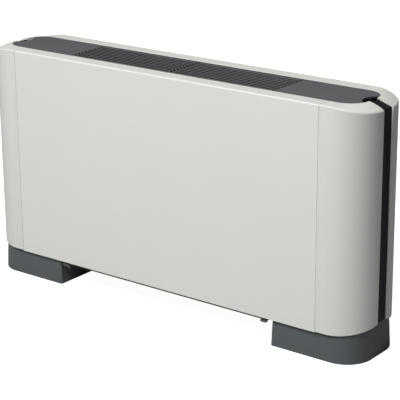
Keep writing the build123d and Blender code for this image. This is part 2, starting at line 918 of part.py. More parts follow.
def make_bends(side):
    """U-shaped return bends that stand on an end plate, one for each pair of tubes."""
    bends = []
    radius = tube_pitch / 2
    x = side * (coil_half_length + end_plate_sheet)
    for row in range(tube_rows - 1):
        along = (row - (tube_rows - 2) / 2) * tube_pitch
        across = (1 if row % 2 else -1) * tube_row_gap / 2
        ring = Pos(radius, 0) * Circle(tube_radius)
        bend = revolve(ring, axis=Axis.Y, revolution_arc=180)
        turned = Rot(0, -90 * side, 0) * bend
        bends.append(coil_place() * Pos(x, across, along) * turned)
    return bends


def make_headers():
    """Two headers on the left end, each with a port out through the side plate."""
    near = coil_half_length + end_plate_sheet
    header_x = -(near + header_radius)
    port_end = -(connection_end_x - connection_length)
    items = []
    for side in (-1, 1):
        body = Pos(header_x, side * port_across, side * port_along) * Cylinder(header_radius, header_length)
        reach = header_x - port_end
        pipe = rod((header_x + port_end) / 2, side * port_across, side * port_along, port_radius, reach, "X")
        items.append(coil_place() * (body + pipe))
    return items


def make_connections():
    """Threaded sockets on both water ports, with a hexagon for the spanner."""
    items = []
    for side in (-1, 1):
        y, z = port_point(side)
        middle = -(connection_end_x - connection_length / 2)
        socket = rod(middle, y, z, connection_radius - connection_wall, connection_length, "X")
        hexagon = Pos(y, z) * RegularPolygon(connection_radius, 6)
        socket += along_x(hexagon, -connection_end_x + 3, connection_hexagon)
        bore_x = -connection_end_x + connection_thread / 2
        socket -= rod(bore_x, y, z, connection_bore, connection_thread + 0.02, "X")
        items.append(socket)
    return items


def make_vent():
    """Hand vent on top of the upper header."""
    x = -(coil_half_length + end_plate_sheet + header_radius)
    low = port_along + header_length / 2
    high = low + vent_body_height
    top = high + vent_screw_height
    head = vent_screw_height + 1
    valve = Pos(x, port_across, (low + high) / 2) * Cylinder(vent_radius, vent_body_height)
    valve += Pos(x, port_across, top - head / 2) * Cylinder(vent_radius - vent_screw_rim, head)
    valve -= Pos(x, port_across, top) * Box(vent_slot, 2 * vent_radius, 2 * vent_slot)
    return coil_place() * valve


# Drain
def make_pan():
    """Condensate pan under the coil's lower edge, on the fan deck, with its outlet at the left."""
    half = plate_inner_x
    y0, y1, wall = pan_front_y, pan_rear_y, pan_wall
    pan = block(-half, half, y0, y1, deck_top, deck_top + wall)
    pan += block(-half, half, y0, y0 + wall, deck_top, deck_top + pan_front_height)
    pan += block(-half, half, y1 - wall, y1, deck_top, deck_top + pan_rear_height)
    for x in (-half, half - wall):
        pan += block(x, x + wall, y0, y1, deck_top, deck_top + pan_rear_height)
    x = -(half - wall + spigot_end_x) / 2
    z = deck_top + spigot_rise
    reach = spigot_end_x - half
    pan += rod(x, spigot_y, z, spigot_radius, reach + wall, "X")
    return pan - rod(x, spigot_y, z, spigot_bore, reach + 4 * wall, "X")


def make_tray():
    """Small tray under the water connections, on the left side plate."""
    x0, x1 = frame_half_length, tray_end_x
    z0, z1 = tray_low_z, tray_low_z + tray_height
    half = tray_half_depth
    tray = block(-x1, -x0, -half, half, z0, z1)
    wall = tray_wall
    tray -= block(-x1 + wall, -x0 - wall, -half + wall, half - wall, z0 + wall, z1 + 1)
    x = -x1 + spout_inset
    y = -half + spout_inset
    z = z0 + 1 - spout_length / 2
    tray += rod(x, y, z, spout_radius, spout_length)
    return tray - rod(x, y, z, spout_bore, spout_length + 6)


# Filter
def make_filter_frame():
    half_x, half_y = filter_half_length, filter_half_depth
    z0, z1 = filter_bottom, filter_top
    frame = block(-half_x, half_x, -half_y, half_y, z0, z1)
    hole_x, hole_y = half_x - filter_rail, half_y - filter_rail
    frame -= block(-hole_x, hole_x, -hole_y, hole_y, z0 - 1, z1 + 1)
    pitch = 2 * half_x / (filter_bar_count + 1)
    for index in range(filter_bar_count):
        x = -half_x + pitch * (index + 1) - filter_bar_width / 2
        frame += block(x, x + filter_bar_width, -half_y + 1, half_y - 1, z0, z0 + filter_bar_height)
    half = filter_tab_width / 2
    for x in (-filter_tab_x, filter_tab_x):
        frame += block(
            x - half, x + half, -half_y - filter_tab_reach, -half_y + filter_tab_wall,
            z0 - filter_tab_drop, z0 + filter_bar_height,
        )
        frame -= block(
            x - half + filter_tab_wall, x + half - filter_tab_wall,
            -half_y - filter_tab_reach + 2, -half_y + filter_tab_wall + 1, z0 - filter_tab_drop - 1, z0,
        )
    return frame


def make_filter_mesh():
    half_x = filter_half_length - filter_rail
    half_y = filter_half_depth - filter_rail
    z0 = filter_bottom + filter_bar_height
    return block(-half_x, half_x, -half_y, half_y, z0, z0 + filter_mesh_wall)


def make_runner():
    """Right filter runner, a channel under the two base rails."""
    x0 = filter_half_length + runner_gap
    x1 = x0 + runner_wall
    y0, y1 = -half_depth + panel_return + runner_gap, inner_face - frame_sheet
    low = filter_bottom - runner_gap - runner_wall
    runner = block(x0, x1, y0, y1, low, frame_bottom)
    runner += block(x0 - runner_lip, x1, y0, y1, low, low + runner_wall)
    return runner + block(x0, x1 + 12, y0, y1, frame_bottom - runner_wall, frame_bottom)


# Controls
def make_control_panel():
    """Shelf for the controls under the right lid."""
    x0, x1, half = frame_half_length, control_far_x, control_half_depth
    top = control_top
    panel = block(x0, x1, -half, half, top - control_wall, top)
    panel += block(x0, x1, -half, half, top - control_rim, top + 2)
    wall = control_wall
    panel -= block(x0 + wall, x1 - wall, -half + wall, half - wall, top, z_top)
    panel -= block(x0 + wall, x1 - wall, -half + wall, half - wall, top - control_rim - 1, top - wall)
    for x in (speed_knob_x, thermostat_knob_x):
        panel += rod(x, 0, top - control_wall - collar_drop / 2, knob_stem_radius + collar_wall, collar_drop)
        panel -= rod(x, 0, top, knob_stem_radius + knob_clearance, 60)
    half = switch_length / 2 + switch_gap
    slot_y0 = switch_y - switch_width / 2 - switch_gap
    slot_y1 = switch_y + switch_width / 2 + switch_travel + switch_gap
    return panel - block(switch_x - half, switch_x + half, slot_y0, slot_y1, top - 10, top + 1)


def make_knob(x, pointer):
    """Fluted knob on a stem, with a raised pointer line."""
    low = control_top + knob_gap
    knob = rod(x, 0, low + knob_height / 2, knob_radius, knob_height)
    for index in range(knob_flutes):
        angle = 2 * pi * index / knob_flutes + pi / knob_flutes
        at_x = x + (knob_radius + 0.6) * cos(angle)
        at_y = (knob_radius + 0.6) * sin(angle)
        knob -= rod(at_x, at_y, low + knob_height / 2 + 3, knob_flute_radius, knob_height)
    line = Box(knob_radius - 3, pointer_width, 2 * pointer_height)
    line = Rot(0, 0, pointer) * Pos(knob_radius / 2 - 1, 0, 0) * line
    stem = rod(x, 0, low - knob_stem_length / 2 + 0.5, knob_stem_radius, knob_stem_length + 1)
    return knob + Pos(x, 0, low + knob_height) * line + stem


def make_switch():
    """Slide switch with a ribbed thumb piece."""
    x0, x1 = switch_x - switch_length / 2, switch_x + switch_length / 2
    y0 = switch_y - switch_width / 2
    high = control_top + switch_height
    slider = block(x0, x1, y0, y0 + switch_width, control_top - switch_stem, high)
    for index in range(switch_groove_count):
        y = y0 + switch_width * (index + 0.5) / switch_groove_count
        slider -= block(x0 - 1, x1 + 1, y - 0.4, y + 0.4, high - 0.8, high + 1)
    return slider


def make_terminal_box():
    x0, x1 = frame_half_length, frame_half_length + box_depth
    half, z0, z1 = box_half_width, box_low_z, box_low_z + box_height
    box = block(x0, x1, -half, half, z0, z1)
    box -= block(x0 + box_wall, x1 + 1, -half + box_wall, half - box_wall, z0 + box_wall, z1 - box_wall)
    return box - rod(x0 + box_depth / 2, 0, z0, gland_bore + 2, 4 * box_wall)


def make_terminal_cover():
    x1 = frame_half_length + box_depth
    half, z0, z1 = box_half_width, box_low_z, box_low_z + box_height
    cover = block(x1, x1 + box_wall, -half, half, z0, z1)
    lip = box_wall + 0.2
    cover += block(x1 - 4, x1 + 1, -half + lip, half - lip, z0 + lip, z1 - lip)
    cover -= block(x1 - 5, x1, -half + 2 * lip, half - 2 * lip, z0 + 2 * lip, z1 - 2 * lip)
    return cover


def make_terminal_strip():
    """Row of terminals on the floor of the box."""
    x0 = frame_half_length + box_wall
    low, high = box_low_z + 40, box_low_z + box_height - 20
    strip = block(x0, x0 + strip_depth, -strip_half_width, strip_half_width, low, high)
    for index in range(terminal_count):
        z = low + (high - low) * (index + 0.5) / terminal_count
        strip -= rod(x0 + strip_depth, 0, z, terminal_radius, 10, "X")
    return strip


def make_gland():
    x = frame_half_length + box_depth / 2
    z = box_low_z
    gland = rod(x, 0, z - gland_length / 2, gland_radius, gland_length)
    gland += extrude(Pos(x, 0, z - gland_nut) * RegularPolygon(gland_nut_radius, 6), amount=gland_nut)
    gland += rod(x, 0, z + 3, gland_bore + 1.9, 6.4)
    return gland - rod(x, 0, z - gland_length / 2 + 4, gland_bore, gland_length + 20)


# Fasteners
def screw(x, y, z, direction):
    """Round-headed screw whose head stands on a face that looks along direction."""
    plane = Plane(origin=(x, y, z), z_dir=direction)
    head = Pos(0, 0, screw_head / 2) * Cone(screw_radius, screw_radius * 0.7, screw_head)
    head -= Pos(0, 0, screw_head) * Box(screw_slot, 1.4 * screw_radius, screw_head / 2)
    return plane * head


def make_foot_screws():
    """Screws in the inner wall of each foot cover, which leans in by its taper."""
    low = foot_screw_z - screw_radius
    x = foot_inner_x + low * tan(radians(foot_taper)) - screw_seat
    items = []
    for side in (-1, 1):
        for y in (-foot_screw_y, foot_screw_y):
            items.append(screw(side * x, y, foot_screw_z, (-side, 0, 0)))
    return items


def make_rivets():
    """Flat-headed rivets that hold the back plate to the side plates."""
    items = []
    low = frame_bottom + 30
    pitch = (frame_top - 50 - low) / (rivet_count - 1)
    for side in (-1, 1):
        x = side * (frame_half_length + rivet_inset)
        for index in range(rivet_count):
            z = low + index * pitch
            items.append(rod(x, inner_face + rivet_height / 2, z, rivet_radius, rivet_height, "Y"))
    return items


def make_rail_screws():
    """Screws through the rear rail's skirt into the back plate, heads inside."""
    items = []
    y = inner_face - frame_sheet
    for step in (-2, -1, 0, 1, 2):
        items.append(screw(step * rail_screw_pitch, y, z_top - rail_skirt + rail_screw_rise, (0, -1, 0)))
    return items


def main():
    front_shell = make_front_shell()
    rear_shell = other_face(front_shell)
    side_plate = make_side_plate()
    left_plate = other_side(side_plate)
    for side in (-1, 1):
        y, z = port_point(side)
        left_plate -= rod(-frame_half_length, y, z, port_radius + 1.5, 8, "X")
    left_plate -= rod(-frame_half_length, spigot_y, deck_top + spigot_rise, spigot_radius + 1, 8, "X")
    parts = {
        "front_panel": make_front_panel(),
        "rear_rail": make_rear_rail(),
        "corner_shell_front_right": front_shell,
        "corner_shell_rear_right": rear_shell,
        "corner_shell_front_left": other_side(front_shell),
        "corner_shell_rear_left": other_side(rear_shell),
        "side_strip_right": make_strip(),
        "side_strip_left": other_side(make_strip()),
        "louvre_grille_right": make_grille(),
        "louvre_grille_left": other_side(make_grille()),
        "lid_right": make_lid(),
        "lid_left": other_side(make_lid()),
        "lid_hinge_pins": make_hinge_pins(),
        "foot_cover_right": make_foot_cover(),
        "foot_cover_left": other_side(make_foot_cover()),
        "foot_bracket_right": make_foot_bracket(),
        "foot_bracket_left": other_side(make_foot_bracket()),
        "foot_screws": make_foot_screws(),
        "back_plate": make_back_plate(),
        "side_plate_right": side_plate,
        "side_plate_left": left_plate,
        "front_beam": make_front_beam(),
        "base_rail_front": make_base_rail(),
        "base_rail_rear": make_rear_base_rail(),
        "panel_insulation": make_insulation(),
        "fan_deck": make_deck(),
        "fan_scroll_right": make_scroll(),
        "fan_scroll_left": other_side(make_scroll()),
        "fan_wheel_right": make_wheel(),
        "fan_wheel_left": other_side(make_wheel()),
        "fan_shaft": make_shaft(),
        "fan_motor": make_motor(),
        "motor_cradle": make_cradle(),
        "shaft_bearing_right": make_bearing(),
        "shaft_bearing_left": other_side(make_bearing()),
        "coil_fins": make_fins(),
        "coil_channels": make_coil_channels(),
        "coil_end_right": make_coil_end(),
        "coil_end_left": other_side(make_coil_end()),
        "coil_bends": make_bends(1),
        "coil_headers": make_headers(),
        "water_connections": make_connections(),
        "air_vent": make_vent(),
        "drain_pan": make_pan(),
        "connection_tray": make_tray(),
        "filter_frame": make_filter_frame(),
        "filter_mesh": make_filter_mesh(),
        "filter_runner_right": make_runner(),
        "filter_runner_left": other_side(make_runner()),
        "control_panel": make_control_panel(),
        "speed_knob": make_knob(speed_knob_x, speed_rest_angle),
        "thermostat_knob": make_knob(thermostat_knob_x, thermostat_rest_angle),
        "season_switch": make_switch(),
        "terminal_box": make_terminal_box(),
        "terminal_cover": make_terminal_cover(),
        "terminal_strip": make_terminal_strip(),
        "cable_gland": make_gland(),
        "frame_rivets": make_rivets(),
        "rail_screws": make_rail_screws(),
    }
    for name, shape in parts.items():
        save(name, shape)


main()
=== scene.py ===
import json
import math

import bmesh
import bpy
from mathutils import Matrix, Vector


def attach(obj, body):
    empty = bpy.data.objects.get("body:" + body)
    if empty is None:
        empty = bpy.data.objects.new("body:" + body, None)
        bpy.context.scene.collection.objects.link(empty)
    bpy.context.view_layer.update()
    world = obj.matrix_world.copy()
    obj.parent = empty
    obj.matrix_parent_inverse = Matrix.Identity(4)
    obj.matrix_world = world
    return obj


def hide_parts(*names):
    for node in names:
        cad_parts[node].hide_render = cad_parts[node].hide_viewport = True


# Floor-standing fan coil air conditioner, dressed for its portrait.
# Metres, X along the casing, front towards -Y, Z up, floor at 0.

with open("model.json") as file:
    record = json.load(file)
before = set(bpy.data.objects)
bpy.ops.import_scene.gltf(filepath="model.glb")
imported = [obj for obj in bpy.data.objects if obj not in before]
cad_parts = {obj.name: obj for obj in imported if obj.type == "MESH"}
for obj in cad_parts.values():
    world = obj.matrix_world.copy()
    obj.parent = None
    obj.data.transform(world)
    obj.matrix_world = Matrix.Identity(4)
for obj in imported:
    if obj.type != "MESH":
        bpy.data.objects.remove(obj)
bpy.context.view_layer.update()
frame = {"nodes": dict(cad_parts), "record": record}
nodes = frame["nodes"]
bodyOfNode = {}
for bodyName, members in frame["record"]["behaviour"]["bodies"].items():
    for member in members:
        bodyOfNode[member] = bodyName
slotOfNode = {entry["node"]: entry["material_slot"] for entry in frame["record"]["subparts"]}
print("frame loaded:", len(nodes), "nodes")

closeBy = 0.0001  # a corner nearer than this to a plane counts as on it


# selecting and finishing
def clearSelection():
    if bpy.context.object and bpy.context.object.mode != "OBJECT":
        bpy.ops.object.mode_set(mode="OBJECT")
    bpy.ops.object.select_all(action="DESELECT")


def pickOnly(piece):
    clearSelection()
    piece.select_set(True)
    bpy.context.view_layer.objects.active = piece


def settle(piece):
    # the place goes into the mesh, as on a CAD node
    pickOnly(piece)
    bpy.ops.object.transform_apply(location=True, rotation=True, scale=True)


def applyModifier(piece, kind, **settings):
    pickOnly(piece)
    modifier = piece.modifiers.new(kind.title(), kind)
    for key, value in settings.items():
        setattr(modifier, key, value)
    bpy.ops.object.modifier_apply(modifier=modifier.name)


def softenEdges(piece, width, smooth=38, sharp=32):
    if width > 0:
        applyModifier(piece, "BEVEL", width=width, segments=2, limit_method="ANGLE",
                      angle_limit=math.radians(sharp), use_clamp_overlap=True, miter_outer="MITER_ARC")
    pickOnly(piece)
    bpy.ops.object.shade_smooth_by_angle(angle=math.radians(smooth))
    # the large faces keep their own direction, the narrow bevels do the turning
    applyModifier(piece, "WEIGHTED_NORMAL", mode="FACE_AREA", weight=80, keep_sharp=True)


def setMaterial(piece, material):
    piece.data.materials.clear()
    piece.data.materials.append(material)


def mergedCopy(nodeName, pieceName, flat=0.6):
    # loose triangles of the node become one clean skin
    mesh = nodes[nodeName].data.copy()
    piece = bpy.data.objects.new(pieceName, mesh)
    bpy.context.scene.collection.objects.link(piece)
    pickOnly(piece)
    bpy.ops.object.mode_set(mode="EDIT")
    bpy.ops.mesh.select_all(action="SELECT")
    bpy.ops.mesh.remove_doubles(threshold=0.00001)
    bpy.ops.mesh.dissolve_limited(angle_limit=math.radians(flat))
    bpy.ops.object.mode_set(mode="OBJECT")
    return piece


def takePlace(piece, nodeName):
    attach(piece, bodyOfNode[nodeName])
    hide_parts(nodeName)


# materials, whose patterns all read Object coordinates
class Finish:
    # a Principled surface with its own grain, mottling, painted shade in the hollows of some finishes, and
    # roughness map
    def __init__(self, name, colour, roughness, metallic=0.0, specular=0.5):
        self.material = bpy.data.materials.new(name)
        self.material.use_nodes = True
        self.tree = self.material.node_tree
        self.shader = self.tree.nodes["Principled BSDF"]
        self.shader.inputs["Base Color"].default_value = (*colour, 1)
        self.shader.inputs["Roughness"].default_value = roughness
        self.shader.inputs["Metallic"].default_value = metallic
        self.shader.inputs["Specular IOR Level"].default_value = specular
        self.colour = colour
        self.roughness = roughness
        self.place = self.tree.nodes.new("ShaderNodeTexCoord").outputs["Object"]
        self.height = None

    def node(self, kind, **values):
        made = self.tree.nodes.new(kind)
        for key, value in values.items():
            if key in made.inputs.keys():
                made.inputs[key].default_value = value
            else:
                setattr(made, key, value)
        return made

    def join(self, a, b):
        self.tree.links.new(a, b)

    def stretched(self, scale, turn=(0, 0, 0)):
        mapping = self.node("ShaderNodeMapping")
        mapping.inputs["Scale"].default_value = scale
        mapping.inputs["Rotation"].default_value = turn
        self.join(self.place, mapping.inputs["Vector"])
        return mapping.outputs["Vector"]

    def noise(self, scale, detail=3.0, rough=0.55, vector=None):
        made = self.node("ShaderNodeTexNoise", Scale=scale, Detail=detail, Roughness=rough)
        self.join(vector or self.place, made.inputs["Vector"])
        return made.outputs["Fac"]

    def mottle(self, factor, spread, low=0.3, high=0.7):
        # colour drifts a little either side of the finish's own along the factor: random tone on most
        # finishes, painted shade on foam and net, where the factor is also their relief
        ramp = self.node("ShaderNodeValToRGB")
        ramp.color_ramp.elements[0].position = low
        ramp.color_ramp.elements[1].position = high
        ramp.color_ramp.elements[0].color = (*[c * (1 - spread) for c in self.colour], 1)
        ramp.color_ramp.elements[1].color = (*[min(c * (1 + spread), 1) for c in self.colour], 1)
        self.join(factor, ramp.inputs["Fac"])
        self.join(ramp.outputs["Color"], self.shader.inputs["Base Color"])
        return ramp

    def roughnessFrom(self, factor, spread, low=0.3, high=0.7):
        span = self.node("ShaderNodeMapRange")
        span.inputs["From Min"].default_value = low
        span.inputs["From Max"].default_value = high
        span.inputs["To Min"].default_value = self.roughness - spread
        span.inputs["To Max"].default_value = self.roughness + spread
        self.join(factor, span.inputs["Value"])
        self.join(span.outputs["Result"], self.shader.inputs["Roughness"])

    def bump(self, factor, distance, strength=1.0):
        made = self.node("ShaderNodeBump", Strength=strength, Distance=distance)
        self.join(factor, made.inputs["Height"])
        if self.height:
            self.join(self.height, made.inputs["Normal"])
        self.height = made.outputs["Normal"]
        self.join(self.height, self.shader.inputs["Normal"])


def makePaint(values):
    # powder coat: faint orange peel over a very even colour
    paint = Finish("casingPaint", values["colour"], values["roughness"])
    paint.mottle(paint.noise(values["toneScale"], detail=4), values["mottle"])
    paint.roughnessFrom(paint.noise(values["hazeScale"], detail=4), values["hazeSpread"])
    paint.bump(paint.noise(values["peelScale"], detail=2), values["peelDepth"])
    paint.bump(paint.noise(values["waveScale"], detail=2), values["waveDepth"], values["waveStrength"])
    return paint.material


grainShared = {"specular": 0.5, "toneScale": 16, "hazeScale": 120, "hazeSpread": 0.06, "coarser": 0.35}


def makeGrain(name, own):
    # moulded plastic with a spark-eroded grain
    values = {**grainShared, **own}
    grain = Finish(name, values["colour"], values["roughness"], specular=values["specular"])
    grain.mottle(grain.noise(values["toneScale"], detail=5, rough=0.6), values["mottle"])
    grain.roughnessFrom(grain.noise(values["hazeScale"], detail=4), values["hazeSpread"])
    pits = grain.node("ShaderNodeTexVoronoi", Scale=values["grainScale"], feature="SMOOTH_F1")
    grain.join(grain.place, pits.inputs["Vector"])
    grain.bump(pits.outputs["Distance"], values["grainDepth"])
    grain.bump(grain.noise(values["grainScale"] * values["coarser"]), values["grainDepth"])
    return grain.material


def makeZinc(values):
    # hot-dipped sheet: spangles that differ in tone and gloss, with rolling marks along X
    zinc = Finish("galvanisedSheet", values["colour"], values["roughness"], metallic=values["metallic"])
    spangle = zinc.node("ShaderNodeTexVoronoi", Scale=values["spangleScale"], feature="F1")
    zinc.join(zinc.place, spangle.inputs["Vector"])
    split = zinc.node("ShaderNodeSeparateColor")
    zinc.join(spangle.outputs["Color"], split.inputs["Color"])
    zinc.mottle(split.outputs["Red"], values["spread"], low=0.0, high=1.0)
    zinc.roughnessFrom(split.outputs["Green"], values["glossSpread"])
    rolling = zinc.noise(values["rollScale"], rough=0.6, vector=zinc.stretched(values["along"]))
    zinc.bump(rolling, values["rollDepth"])
    return zinc.material


metalShared = {"tarnishScale": 30, "lineScale": 900, "lineSpread": 0.08, "lineDepth": 0.00002}


def makeBareMetal(name, own):
    # drawn or turned metal: fine scratches along one axis and slow tarnish
    values = {**metalShared, **own}
    metal = Finish(name, values["colour"], values["roughness"], metallic=1.0)
    metal.mottle(metal.noise(values["tarnishScale"], detail=5, rough=0.6), values["tarnish"])
    along = metal.stretched(values["along"])
    lines = metal.noise(values["lineScale"], detail=2, rough=0.5, vector=along)
    metal.roughnessFrom(lines, values["lineSpread"])
    metal.bump(lines, values["lineDepth"])
    return metal.material


def makeFoam(values):
    foam = Finish("linerFoam", values["colour"], values["roughness"], specular=values["specular"])
    cellReliefAndShade = foam.node("ShaderNodeTexVoronoi", Scale=values["cellScale"], feature="F1")
    foam.join(foam.place, cellReliefAndShade.inputs["Vector"])
    # painted shade: the colour follows the cells' relief, darker in the pits
    foam.mottle(cellReliefAndShade.outputs["Distance"], values["mottle"], low=0.1, high=0.6)
    foam.bump(cellReliefAndShade.outputs["Distance"], values["cellDepth"])
    return foam.material


def makeNet(values):
    # woven net: threads in X and Y, with painted shade in the darker meshes between them
    net = Finish("filterNet", values["colour"], values["roughness"], specular=values["specular"])
    threads = []
    for direction in ("X", "Y"):
        wave = net.node("ShaderNodeTexWave", Scale=values["threadScale"], wave_type="BANDS",
                        bands_direction=direction, wave_profile="SIN")
        net.join(net.place, wave.inputs["Vector"])
        threads.append(wave.outputs["Fac"])
    weaveAndGapShade = net.node("ShaderNodeMath", operation="MAXIMUM")
    net.join(threads[0], weaveAndGapShade.inputs[0])
    net.join(threads[1], weaveAndGapShade.inputs[1])
    # painted shade: colour follows the weave's relief, lighter on the threads and darker between them
    net.mottle(weaveAndGapShade.outputs["Value"], values["mottle"], low=0.35, high=0.85)
    net.bump(weaveAndGapShade.outputs["Value"], values["threadDepth"])
    return net.material


paintFinish = {"colour": (0.668, 0.668, 0.640), "roughness": 0.42, "mottle": 0.008, "toneScale": 7,
               "hazeScale": 55, "hazeSpread": 0.04, "peelScale": 520, "peelDepth": 0.00003,
               "waveScale": 3.2, "waveDepth": 0.0006, "waveStrength": 0.5}
shellFinish = {"colour": (0.64, 0.64, 0.615), "roughness": 0.5, "specular": 0.3, "mottle": 0.01,
               "grainScale": 1500, "grainDepth": 0.00002}
darkFinish = {"colour": (0.094, 0.098, 0.104), "roughness": 0.5, "mottle": 0.05, "grainScale": 1100,
              "grainDepth": 0.00005}
# near-black: the strip's own dark plastic, darkened further as painted shade of its groove; the grille's
# joint bars use it as painted shade
stripAndShadeFinish = {"colour": (0.007, 0.008, 0.010), "roughness": 0.55, "specular": 0.16, "mottle": 0.05,
               "grainScale": 1300, "grainDepth": 0.00003}
slateFinish = {"colour": (0.078, 0.088, 0.093), "roughness": 0.52, "mottle": 0.05,
               "grainScale": 1100, "grainDepth": 0.00005}
zincFinish = {"colour": (0.68, 0.69, 0.70), "roughness": 0.42, "metallic": 0.85, "spangleScale": 75,
              "spread": 0.16, "glossSpread": 0.09, "rollScale": 260, "rollDepth": 0.00003,
              "along": (0.03, 1, 1)}
brightFinish = {"colour": (0.66, 0.66, 0.65), "roughness": 0.3, "tarnish": 0.08, "along": (0.05, 1, 1)}
finFinish = {"colour": (0.80, 0.81, 0.83), "roughness": 0.3, "tarnish": 0.05, "along": (1, 1, 0.04),
             "lineDepth": 0.00001}
fanFinish = {"colour": (0.62, 0.63, 0.65), "roughness": 0.38, "tarnish": 0.10, "along": (0.06, 1, 1)}
copperFinish = {"colour": (0.72, 0.36, 0.22), "roughness": 0.32, "tarnish": 0.22,
                "along": (1, 1, 0.1), "tarnishScale": 60}
brassFinish = {"colour": (0.70, 0.53, 0.24), "roughness": 0.28, "tarnish": 0.14, "along": (0.05, 1, 1)}
motorFinish = {"colour": (0.10, 0.11, 0.12), "roughness": 0.45, "mottle": 0.10, "grainScale": 700,
               "grainDepth": 0.00004}
rubberFinish = {"colour": (0.035, 0.035, 0.037), "roughness": 0.7, "mottle": 0.15, "grainScale": 900,
                "grainDepth": 0.00004, "specular": 0.3}
# foam: its colour spread is painted shade, darker in the cell pits
foamFinish = {"colour": (0.05, 0.05, 0.053), "roughness": 0.9, "specular": 0.2, "mottle": 0.35,
              "cellScale": 420, "cellDepth": 0.0004}
filterFinish = {"colour": (0.07, 0.07, 0.075), "roughness": 0.5, "mottle": 0.08, "grainScale": 1000,
                "grainDepth": 0.00004}
# net: its colour spread is painted shade, darker between the threads
netFinish = {"colour": (0.13, 0.13, 0.135), "roughness": 0.75, "specular": 0.25, "mottle": 0.75,
             "threadScale": 130, "threadDepth": 0.0004}
controlFinish = {"colour": (0.22, 0.23, 0.24), "roughness": 0.5, "mottle": 0.03, "grainScale": 1200,
                 "grainDepth": 0.00004}
knobFinish = {"colour": (0.62, 0.62, 0.60), "roughness": 0.33, "mottle": 0.02, "grainScale": 2500,
              "grainDepth": 0.00001}
switchFinish = {"colour": (0.045, 0.045, 0.05), "roughness": 0.35, "mottle": 0.05,
                "grainScale": 2000, "grainDepth": 0.00001}
boxFinish = {"colour": (0.46, 0.47, 0.48), "roughness": 0.5, "mottle": 0.03, "grainScale": 1200,
             "grainDepth": 0.00004}
terminalFinish = {"colour": (0.62, 0.60, 0.54), "roughness": 0.45, "mottle": 0.03,
                  "grainScale": 1500, "grainDepth": 0.00002}

finishes = {
    "casing_paint": makePaint(paintFinish),
    "casing_plastic": makeGrain("casingPlastic", shellFinish),
    "dark_plastic": makeGrain("darkPlastic", darkFinish),
    "slate_plastic": makeGrain("slatePlastic", slateFinish),
    "strip_plastic": makeGrain("stripPlasticAndPaintedShade", stripAndShadeFinish),
    "galvanised": makeZinc(zincFinish),
    "bright_steel": makeBareMetal("brightZinc", brightFinish),
    "foam": makeFoam(foamFinish),
    "fin_aluminium": makeBareMetal("finFoil", finFinish),
    "fan_aluminium": makeBareMetal("fanSheet", fanFinish),
    "copper": makeBareMetal("drawnCopper", copperFinish),
    "brass": makeBareMetal("turnedBrass", brassFinish),
    "motor_paint": makeGrain("motorEnamel", motorFinish),
    "bearing_rubber": makeGrain("bearingRubber", rubberFinish),
    "filter_plastic": makeGrain("filterPlastic", filterFinish),
    "filter_cloth": makeNet(netFinish),
    "control_plastic": makeGrain("controlPlastic", controlFinish),
    "knob_plastic": makeGrain("knobPlastic", knobFinish),
    "switch_plastic": makeGrain("switchPlastic", switchFinish),
    "box_plastic": makeGrain("boxPlastic", boxFinish),
    "terminal_plastic": makeGrain("terminalPlastic", terminalFinish),
}
for nodeName, cadNode in nodes.items():
    setMaterial(cadNode, finishes[slotOfNode[nodeName]])
print("materials made:", len(finishes))


# CAD nodes that only need softer edges
softEdges = {
    "foot_cover_right": 0.0012, "foot_cover_left": 0.0012, "back_plate": 0.0003,
    "foot_bracket_right": 0.0006, "foot_bracket_left": 0.0006,
    "filter_frame": 0.0005, "filter_runner_right": 0.0003, "filter_runner_left": 0.0003,
    "control_panel": 0.0006, "speed_knob": 0.0005, "thermostat_knob": 0.0005, "season_switch": 0.0003,
    "terminal_box": 0.0006, "terminal_cover": 0.0008, "cable_gland": 0.0005, "foot_screws": 0.0003,
    "fan_motor": 0.0008, "drain_pan": 0.0003, "connection_tray": 0.0005, "water_connections": 0.0006,
    "coil_bends": 0.0, "coil_headers": 0.0008, "air_vent": 0.0003, "fan_wheel_right": 0.0,
    "fan_wheel_left": 0.0, "fan_scroll_right": 0.0002, "fan_scroll_left": 0.0002, "fan_shaft": 0.0005,
    "lid_hinge_pins": 0.0002, "shaft_bearing_right": 0.0006, "shaft_bearing_left": 0.0006,
    "motor_cradle": 0.0004,
}


def dressNode(nodeName, width):
    words = nodeName.split("_")
    piece = mergedCopy(nodeName, words[0] + "".join(word.title() for word in words[1:]))
    softenEdges(piece, width)
    setMaterial(piece, finishes[slotOfNode[nodeName]])
    takePlace(piece, nodeName)
    return piece


filterShift = {"barFrom": -0.0968, "barMove": -0.0045, "tabFront": -0.097, "tabFrom": 0.311, "tabTo": 0.3305,
               "tabMove": 0.0045}


def bringForward(piece, values):
    # the frame's front bar and pull tabs come up to just behind the panel
    for vertex in piece.data.vertices:
        place = vertex.co
        if place.y < values["barFrom"]:
            place.y += values["barMove"]
        if place.y < values["tabFront"] and values["tabFrom"] < abs(place.x) < values["tabTo"]:
            place.x += math.copysign(values["tabMove"], place.x)


dressed = {nodeName: dressNode(nodeName, width) for nodeName, width in softEdges.items()}
bringForward(dressed["filter_frame"], filterShift)
print("dressed pieces:", len(dressed))


